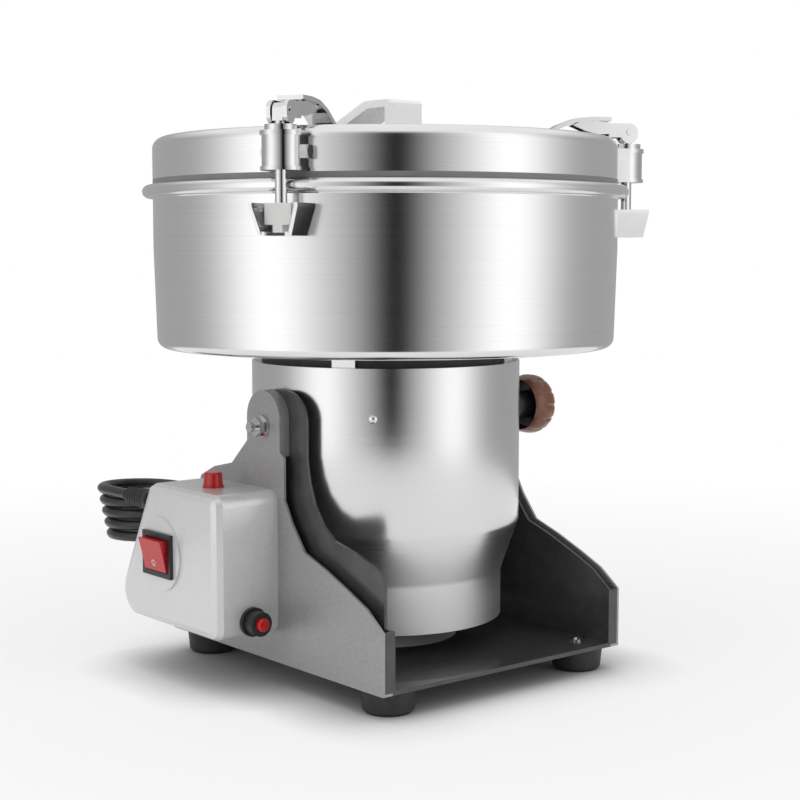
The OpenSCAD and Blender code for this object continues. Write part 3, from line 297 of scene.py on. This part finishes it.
# Colour, roughness, metal, grain's scale, bump, change of tone, and a coat where there is one
GRAINS = {
    "chrome": ((0.7, 0.7, 0.71), 0.08, 1.0, 900, 0.01, 0.03),
    "blade_steel": ((0.62, 0.62, 0.64), 0.26, 1.0, 1200, 0.06, 0.08),
    "machined": ((0.55, 0.55, 0.57), 0.3, 1.0, 1400, 0.08, 0.08),
    "aluminium": ((0.6, 0.6, 0.61), 0.42, 1.0, 700, 0.15, 0.1),
    "windings": ((0.3, 0.17, 0.09), 0.45, 0.4, 500, 0.4, 0.3),
    "copper": ((0.72, 0.42, 0.25), 0.3, 1.0, 700, 0.1, 0.12),
    "brass": ((0.75, 0.62, 0.35), 0.22, 1.0, 900, 0.05, 0.08),
    "frame_paint": ((0.055, 0.055, 0.057), 0.34, 0.1, 900, 0.1, 0.2, 0.3),
    "box_paint": ((0.72, 0.72, 0.725), 0.3, 0.3, 1500, 0.03, 0.015, 0.35),
    "rubber": ((0.022, 0.022, 0.023), 0.55, 0.0, 1100, 0.2, 0.25),
    "pvc": ((0.016, 0.016, 0.017), 0.36, 0.0, 900, 0.12, 0.3, 0.15),
    "black_plastic": ((0.018, 0.018, 0.02), 0.38, 0.0, 1600, 0.1, 0.2),
    "silicone": ((0.2, 0.2, 0.2), 0.4, 0.0, 900, 0.05, 0.05),
    "nylon": ((0.76, 0.76, 0.75), 0.42, 0.0, 900, 0.03, 0.02),
    "handle_plastic": ((0.93, 0.93, 0.925), 0.28, 0.0, 900, 0.01, 0.01, 0.3),
}
M = {name: mottled(name, *look) for name, look in GRAINS.items()}
M["bowl_steel"] = spun_steel("bowl_steel", (0.80, 0.80, 0.80), 0.18, 2600.0, 0.002, 0.02)
M["motor_steel"] = spun_steel("motor_steel", (0.76, 0.76, 0.76), 0.2, 3800.0, 0.02, 0.04, 0.3)
M["hammered"] = hammered("hammered", (0.36, 0.36, 0.365), 0.38)
M["red_plastic"] = red_plastic("red_plastic", False)
M["red_lens"] = red_plastic("red_lens", True)
M["bakelite"] = bakelite()

WEAR = {
    "frame_paint": ["base_frame"],
    "hammered": ["left_cover", "right_cover"],
    "box_paint": ["control_box"],
    "bowl_steel": ["bowl", "lid_shell", "lid_inner"],
    "motor_steel": ["motor_housing"],
    "chrome": ["cover_standoffs", "foot_screws", "latch_brackets", "pivot_studs", "pivot_nuts",
               "knob_washer", "latch_housings", "latch_washers", "latch_cross_bolts",
               "latch_rod_1", "latch_rod_2", "latch_rod_3", "latch_lever_1", "latch_lever_2",
               "latch_lever_3", "handle_screws", "bowl_spacers"],
    "blade_steel": ["lower_blade", "upper_blade", "blade_spacer", "blade_nut", "motor_shaft"],
    "machined": ["upper_bearing", "lower_bearing", "motor_top_plate"],
    "aluminium": ["upper_bearing_carrier", "lower_bearing_carrier"],
    "windings": ["stator", "rotor_core"],
    "copper": ["commutator", "brush_holders"],
    "rubber": ["rubber_feet", "gap_ring", "shaft_seal", "cord_gland", "plug_body"],
    "pvc": ["cord_lead", "cord_coil", "cord_tail"],
    "black_plastic": ["switch_frame", "breaker_body", "end_cover", "cooling_fan"],
    "nylon": ["pivot_bushes"],
    "red_plastic": ["switch_rocker", "reset_button"],
    "red_lens": ["pilot_lamp"],
    "handle_plastic": ["lid_handle"],
    "silicone": ["lid_gasket"],
    "bakelite": ["lock_knob"],
    "brass": ["plug_pins"],
}
for key, names in WEAR.items():
    for name in names:
        N[name].data.materials.clear()
        N[name].data.materials.append(M[key])

# The block and nut on each latch rod, below the rim, are pale nylon
NYLON_TOP = 0.2745
for i in (1, 2, 3):
    o = N[f"latch_rod_{i}"]
    o.data.materials.append(M["nylon"])
    for f in o.data.polygons:
        if (o.matrix_world @ f.center).z < NYLON_TOP:
            f.material_index = 1

# ---------------------------------------------------------------- sheet-metal shells
# Finer skins for the three turned shells, at the source's own sizes in millimetres. Each line
# holds (radius, height) pairs, up or out along one side of the sheet and back along the other.
BOWL_R, SHEET, BOWL_Z, BOWL_H, RIM_H, RIM_OUT = 140.0, 1.5, 194.3, 89.0, 7.5, 6.3
LID_Z, LID_H = 294.1, 24.6
MOTOR_R, LOW_R, MOTOR_Z, LOW_H, NECK_H, MOTOR_TOP = 81.8, 70.9, 30.0, 27.0, 33.0, 186.0
BORE_R = 14.0
DRAFT, CORNER, STRAIGHT = 1.6, 6.0, 30.0
LID_BEND, LID_MID = 6.5, 60.0


def arc(cx, cz, r, a0, a1, steps):
    """Points on an arc from the angle a0 to a1, in degrees."""
    angles = [math.radians(a0 + (a1 - a0) * k / steps) for k in range(steps + 1)]
    return [(cx + r * math.cos(a), cz + r * math.sin(a)) for a in angles]


def shell(name, node, line, body, mat, n=192):
    rings = [ring(Vector((0, AY, z / 1000)), UX, UY, max(r, 0.01) / 1000, n) for r, z in line]
    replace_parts(loft(name, rings, body, [mat], False, True, 35), node)


def bowl_side():
    low = BOWL_R - DRAFT
    bead = RIM_H / 2
    top = BOWL_Z + BOWL_H
    bend_z = BOWL_Z + CORNER
    line = [(BORE_R, BOWL_Z)] + arc(low - CORNER, bend_z, CORNER, -90, 0, 10)
    rise = BOWL_H - STRAIGHT - CORNER
    line += [(low + DRAFT * k / 4, bend_z + rise * k / 4) for k in range(1, 5)]
    line += [(BOWL_R, top - 0.6), (BOWL_R + 0.6, top), (BOWL_R + RIM_OUT - bead, top)]
    line += arc(BOWL_R + RIM_OUT - bead, top + bead, bead, -90, 90, 14)
    line += [(BOWL_R - SHEET, top + RIM_H), (BOWL_R - SHEET, top - STRAIGHT), (low - SHEET, bend_z)]
    return line + arc(low - CORNER, bend_z, CORNER - SHEET, 0, -90, 8) + [(BORE_R, BOWL_Z + SHEET)]


def lid_side():
    top = LID_Z + LID_H
    line = [(BOWL_R - SHEET, LID_Z), (BOWL_R, LID_Z), (BOWL_R, top - LID_BEND)]
    line += arc(BOWL_R - LID_BEND, top - LID_BEND, LID_BEND, 0, 90, 12)
    line += [(LID_MID, top), (0.0, top), (0.0, top - SHEET), (LID_MID, top - SHEET)]
    return line + arc(BOWL_R - LID_BEND, top - LID_BEND, LID_BEND - SHEET, 90, 0, 10)


def motor_side(inset, steps=12):
    line = [(LOW_R - inset, MOTOR_Z)]
    for k in range(steps + 1):
        t = k / steps
        ease = 0.88 * t + 0.12 * (1 - math.cos(math.pi * t)) / 2
        line.append((LOW_R + (MOTOR_R - LOW_R) * ease - inset, MOTOR_Z + LOW_H + NECK_H * t))
    return line + [(MOTOR_R - inset, MOTOR_TOP)]


shell("bowl_skin", "bowl", bowl_side(), "tilting_body", M["bowl_steel"])
shell("lid_skin", "lid_shell", lid_side(), "lid", M["bowl_steel"])
shell("motor_skin", "motor_housing", motor_side(0) + list(reversed(motor_side(SHEET))),
      "tilting_body", M["motor_steel"])
turned("motor_rivet", [(0.0026, -0.0006), (0.0024, 0.0004), (0.0016, 0.0011), (0.0006, 0.0014),
                       (TINY, 0.0015)],
       (-0.0569, -0.0587 + AY, 0.1575), (-0.696, -0.718, 0), "tilting_body", [M["chrome"]], 20)

# ---------------------------------------------------------------- knob and switch mark
# The knob's line holds (radius, distance from its inner end): the socket, the edge, the cap
KNOB_L = 0.032
KNOB_X = max((N["lock_knob"].matrix_world @ Vector(c)).x for c in N["lock_knob"].bound_box) - KNOB_L
KNOB_LINE = [(TINY, 0.0225), (0.0125, 0.0222), (0.0150, 0.0205), (0.0158, 0.0150),
             (0.0165, 0.0128), (0.0172, 0.0136), (0.0186, 0.0165), (0.0195, 0.0205),
             (0.0195, 0.0235), (0.0188, 0.0268), (0.0172, 0.0295), (0.0142, 0.0313),
             (0.0095, 0.0319), (TINY, KNOB_L)]
KNOB_SIDES, FLUTES, FLUTE_DEPTH = 144, 12, 0.0009
FLUTE_R, FLUTE_FROM, FLUTE_TO = 0.0165, 0.0165, 0.031
SOCKET_R, SOCKET_END = 0.0162, 0.0226


def knob_ring(r, h):
    fluted = FLUTE_FROM < h < FLUTE_TO and r > FLUTE_R
    points = []
    for k in range(KNOB_SIDES):
        a = TURN * k / KNOB_SIDES
        cut = FLUTE_DEPTH * max(0, math.cos(FLUTES * a)) ** 4 if fluted else 0.0
        points.append(Vector((KNOB_X + h, AY + (r - cut) * math.cos(a),
                              AXIS_Z + (r - cut) * math.sin(a))))
    return points


knob = loft("knob_cap", [knob_ring(r, h) for r, h in KNOB_LINE], "knob",
            [M["bakelite"], M["black_plastic"]], True, False, 40)
# The socket's inner faces take the black plastic, as does the hub below: partly the hub's own
# black, partly painted shade in the hollow of the socket
for f in knob.data.polygons:
    c = f.center
    if c.x < KNOB_X + SOCKET_END and math.hypot(c.y - AY, c.z - AXIS_Z) < SOCKET_R:
        f.material_index = 1
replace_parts(knob, "lock_knob")
turned("knob_hub", [(0.0032, -0.0035), (0.0088, -0.0035), (0.0090, -0.0030), (0.0090, 0.0224),
                    (0.0032, 0.0224)],
       (KNOB_X, AY, AXIS_Z), (1, 0, 0), "knob", [M["black_plastic"]], 48)

# The ring that marks the rocker's lower half, which leans by MARK_TILT radians
MARK_AT = Vector((-0.13905, 0.045 + AY, 0.0698))
MARK_R, MARK_WIRE, MARK_TILT = 0.0017, 0.00028, 0.198
out = Vector((-math.cos(MARK_TILT), 0, -math.sin(MARK_TILT)))
up = out.cross(UY).normalized()
mark_mat, _, _ = principled("mark_white", (0.85, 0.82, 0.82), 0.4)
rings = [ring(MARK_AT + s * MARK_R, s, out, MARK_WIRE, 8) for s in ring(Vector(), UY, up, 1, 32)]
loft("rocker_ring", rings, "rocker", [mark_mat], False, True, 60)

# ---------------------------------------------------------------- cord
# The same route as the source: strain relief, coil, tail and plug
CORD_D = 0.0065
EXIT_X, EXIT_Z, RELIEF_END = -0.123, 0.102, 0.102
COIL_R, COIL_DROP, COIL_SHIFT, COIL_TURNS = 4.3 * CORD_D, CORD_D + 0.0009, 0.0015, 4.25
COIL_X, COIL_Y = EXIT_X + COIL_R, RELIEF_END + 0.0247
LEAD_STEPS, COIL_STEPS = 4, 24
# In millimetres, and y from the upright axis
TAIL = [(-70, 154.5, 68), (-60, 154, 64), (-51, 153.5, 57), (-43, 153, 48), (-34, 152.5, 38),
        (-24, 152, 29), (-12, 151.5, 21.5), (1, 150.5, 16.5), (15, 149.5, 14), (29, 148.5, 13.3),
        (42, 147, 13.2)]


def coil_point(t):
    """A point of the coil after t turns."""
    a = math.radians(180 - 360 * t)
    return Vector((COIL_X + COIL_SHIFT * t + COIL_R * math.cos(a),
                   COIL_Y + COIL_R * math.sin(a) + AY, EXIT_Z - COIL_DROP * t))


start = Vector((EXIT_X, RELIEF_END + AY, EXIT_Z))
first = coil_point(0) - Vector((0, CORD_D, 0))
route = [start.lerp(first, k / LEAD_STEPS) for k in range(LEAD_STEPS + 1)]
route += [coil_point(k / COIL_STEPS) for k in range(int(COIL_TURNS * COIL_STEPS) + 1)]
route.append(coil_point(COIL_TURNS) + Vector((CORD_D, 0, 0)))
route += [Vector((x / 1000, y / 1000 + AY, z / 1000)) for x, y, z in TAIL]

curve = bpy.data.curves.new("mains_lead", "CURVE")
curve.dimensions = "3D"
curve.bevel_depth = CORD_D / 2
curve.bevel_resolution = 5
curve.use_fill_caps = True
spline = curve.splines.new("POLY")
spline.points.add(len(route) - 1)
for p, q in zip(spline.points, route):
    p.co = (*q, 1)
lead = bpy.data.objects.new("mains_lead", curve)
SCENE.collection.objects.link(lead)
curve.materials.append(M["pvc"])
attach(lead, "frame")
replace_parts(lead, "cord_lead", "cord_coil", "cord_tail")

# Ribbed strain relief: a collar, then ribs that get smaller towards the lead
RIBS, RIBS_FROM, RIBS_TO = 8, 0.0742, 0.1016
RIB_R, RIB_END_R, RIB_DEEP = 0.0068, 0.0044, 0.0008
line = [(TINY, 0.0602), (0.0049, 0.0602), (0.0049, 0.0701), (0.0069, 0.0708), (0.0069, 0.0738)]
for k in range(RIBS):
    w = (RIBS_TO - RIBS_FROM) / RIBS
    at = RIBS_FROM + w * k
    r = RIB_R + (RIB_END_R - RIB_R) * k / RIBS
    line += [(r, at + 0.08 * w), (r, at + 0.5 * w),
             (r - RIB_DEEP, at + 0.58 * w), (r - RIB_DEEP, at + 0.98 * w)]
line += [(0.0040, RIBS_TO + 0.0002), (TINY, RIBS_TO + 0.0002)]
relief = turned("strain_relief", line, (EXIT_X, AY, EXIT_Z), (0, 1, 0), "frame", [M["rubber"]], 32)
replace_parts(relief, "cord_gland")

# ---------------------------------------------------------------- floor and backdrop
FLOOR_HALF = 30.0


def shown_pale(t, shader, near_keep):
    """A floor that is white to the camera and in reflections, with the object's shadow kept:
    near the object it keeps that share of its own shading, and the rest darkens in corners."""
    ao = t.nodes.new("ShaderNodeAmbientOcclusion")
    ao.inputs["Distance"].default_value = 0.05
    ao.samples = 8
    em = t.nodes.new("ShaderNodeEmission")
    t.links.new(math_node(t, "POWER", ao.outputs["AO"], 2.0), em.inputs["Strength"])
    far = t.nodes.new("ShaderNodeVectorMath")
    far.operation = "LENGTH"
    t.links.new(coords(t), far.inputs[0])
    # Near the object means within 0.25 m, and beyond 0.8 m the floor is plain white
    pale = math_node(t, "SUBTRACT", 1.0, span(t, far.outputs["Value"], 0.25, 0.8, near_keep, 0.0))
    mx = t.nodes.new("ShaderNodeMixShader")
    t.links.new(math_node(t, "MULTIPLY", seen_rays(t), pale), mx.inputs["Fac"])
    t.links.new(shader, mx.inputs[1])
    t.links.new(em.outputs[0], mx.inputs[2])
    return mx.outputs[0]


bm = bmesh.new()
bm.faces.new([bm.verts.new((x * FLOOR_HALF, y * FLOOR_HALF, 0))
              for x, y in ((-1, -1), (1, -1), (1, 1), (-1, 1))])
floor_mesh = bpy.data.meshes.new("floor")
bm.to_mesh(floor_mesh)
bm.free()
floor_mat, ft, fb = principled("floor", (0.9, 0.9, 0.9), 0.8)
ft.links.new(shown_pale(ft, fb.outputs[0], 0.3), ft.nodes["Material Output"].inputs["Surface"])
floor = link("floor", floor_mesh, None, [floor_mat], 0)

# The world lights softly, and is plain white where it is seen
LIT, SHOWN = 0.42, 1.0
world = bpy.data.worlds.new("studio")
SCENE.world = world
world.use_nodes = True
wt = world.node_tree
mx = wt.nodes.new("ShaderNodeMixShader")
wt.links.new(seen_rays(wt), mx.inputs["Fac"])
for i, (bg, level) in enumerate(((wt.nodes["Background"], LIT),
                                 (wt.nodes.new("ShaderNodeBackground"), SHOWN))):
    bg.inputs["Color"].default_value = (1, 1, 1, 1)
    bg.inputs["Strength"].default_value = level
    wt.links.new(bg.outputs[0], mx.inputs[i + 1])
wt.links.new(mx.outputs[0], wt.nodes["World Output"].inputs["Surface"])

# ---------------------------------------------------------------- light
# Screen directions at the object: right, and towards the camera
RIGHT = Vector((math.cos(AZ), -math.sin(AZ), 0))
BACK = Vector((-math.sin(AZ), -math.cos(AZ), 0))
CENTRE = Vector((0, AY, 0.2))


def spot_at(across, towards, up):
    return CENTRE + RIGHT * across + BACK * towards + Vector((0, 0, up))


def aimed(angle, dist, up):
    """A place that many degrees to the camera's right, seen from the object."""
    t = math.radians(angle)
    return spot_at(dist * math.sin(t), dist * math.cos(t), up)


def area(name, at, size, power, size_y=None):
    """A lamp that looks at the object and that no reflection shows."""
    d = bpy.data.lights.new(name, "AREA")
    d.shape = "RECTANGLE"
    d.size, d.size_y = size, size_y or size
    d.energy = power
    o = bpy.data.objects.new(name, d)
    SCENE.collection.objects.link(o)
    o.location = at
    o.rotation_euler = (CENTRE - at).to_track_quat("-Z", "Y").to_euler()
    o.visible_glossy = False


area("box_left", aimed(-58, 2.0, 0.62), 1.15, 12.5, 1.75)
area("box_right", aimed(62, 2.0, 0.62), 1.05, 11.5, 1.75)
area("top", spot_at(0.0, 0.1, 1.9), 1.5, 12)


def bell(t, angle, middle, width):
    """A soft bump of 1 round an angle, in degrees."""
    d = math_node(t, "DIVIDE", math_node(t, "SUBTRACT", angle, middle), width)
    return math_node(t, "EXPONENT", math_node(t, "MULTIPLY", math_node(t, "MULTIPLY", d, d), -1.0))


def studio_wall(radius, height, base, boxes, gap, n=96):
    """A round wall that only reflections see. It is base bright, with bright boxes and a dark
    gap, each given as (degrees to the camera's right, width, strength), and white at the top."""
    rings = [ring(Vector((0, AY, z)), UX, UY, radius, n) for z in (0.0005, height)]
    m, t, _ = principled("studio_wall", (0.5, 0.5, 0.5), 0.9)
    x, y, z = split(t, coords(t))
    right, back = weighed(t, x, RIGHT.x, y, RIGHT.y), weighed(t, x, BACK.x, y, BACK.y)
    angle = math_node(t, "MULTIPLY", math_node(t, "ARCTAN2", right, back), 180 / math.pi)
    level = base
    for middle, width, power in boxes:
        lit = math_node(t, "MULTIPLY", bell(t, angle, middle, width), power)
        level = math_node(t, "ADD", lit, level)
    dark = math_node(t, "MULTIPLY", bell(t, angle, gap[0], gap[1]), -gap[2])
    level = math_node(t, "MULTIPLY", level, math_node(t, "ADD", dark, 1.0))
    high = span(t, z, 0.5, 0.8)
    level = math_node(t, "MULTIPLY", level, math_node(t, "SUBTRACT", 1.0, high))
    em = t.nodes.new("ShaderNodeEmission")
    t.links.new(math_node(t, "ADD", level, high), em.inputs["Strength"])
    t.links.new(em.outputs[0], t.nodes["Material Output"].inputs["Surface"])
    o = loft("studio_wall", rings, None, [m], False, False, 0)
    o.visible_camera = o.visible_diffuse = o.visible_shadow = o.visible_transmission = False


studio_wall(0.56, 0.9, 0.42, ((-50, 26, 0.92), (54, 24, 0.92)), (4.0, 12.5, 1.0))
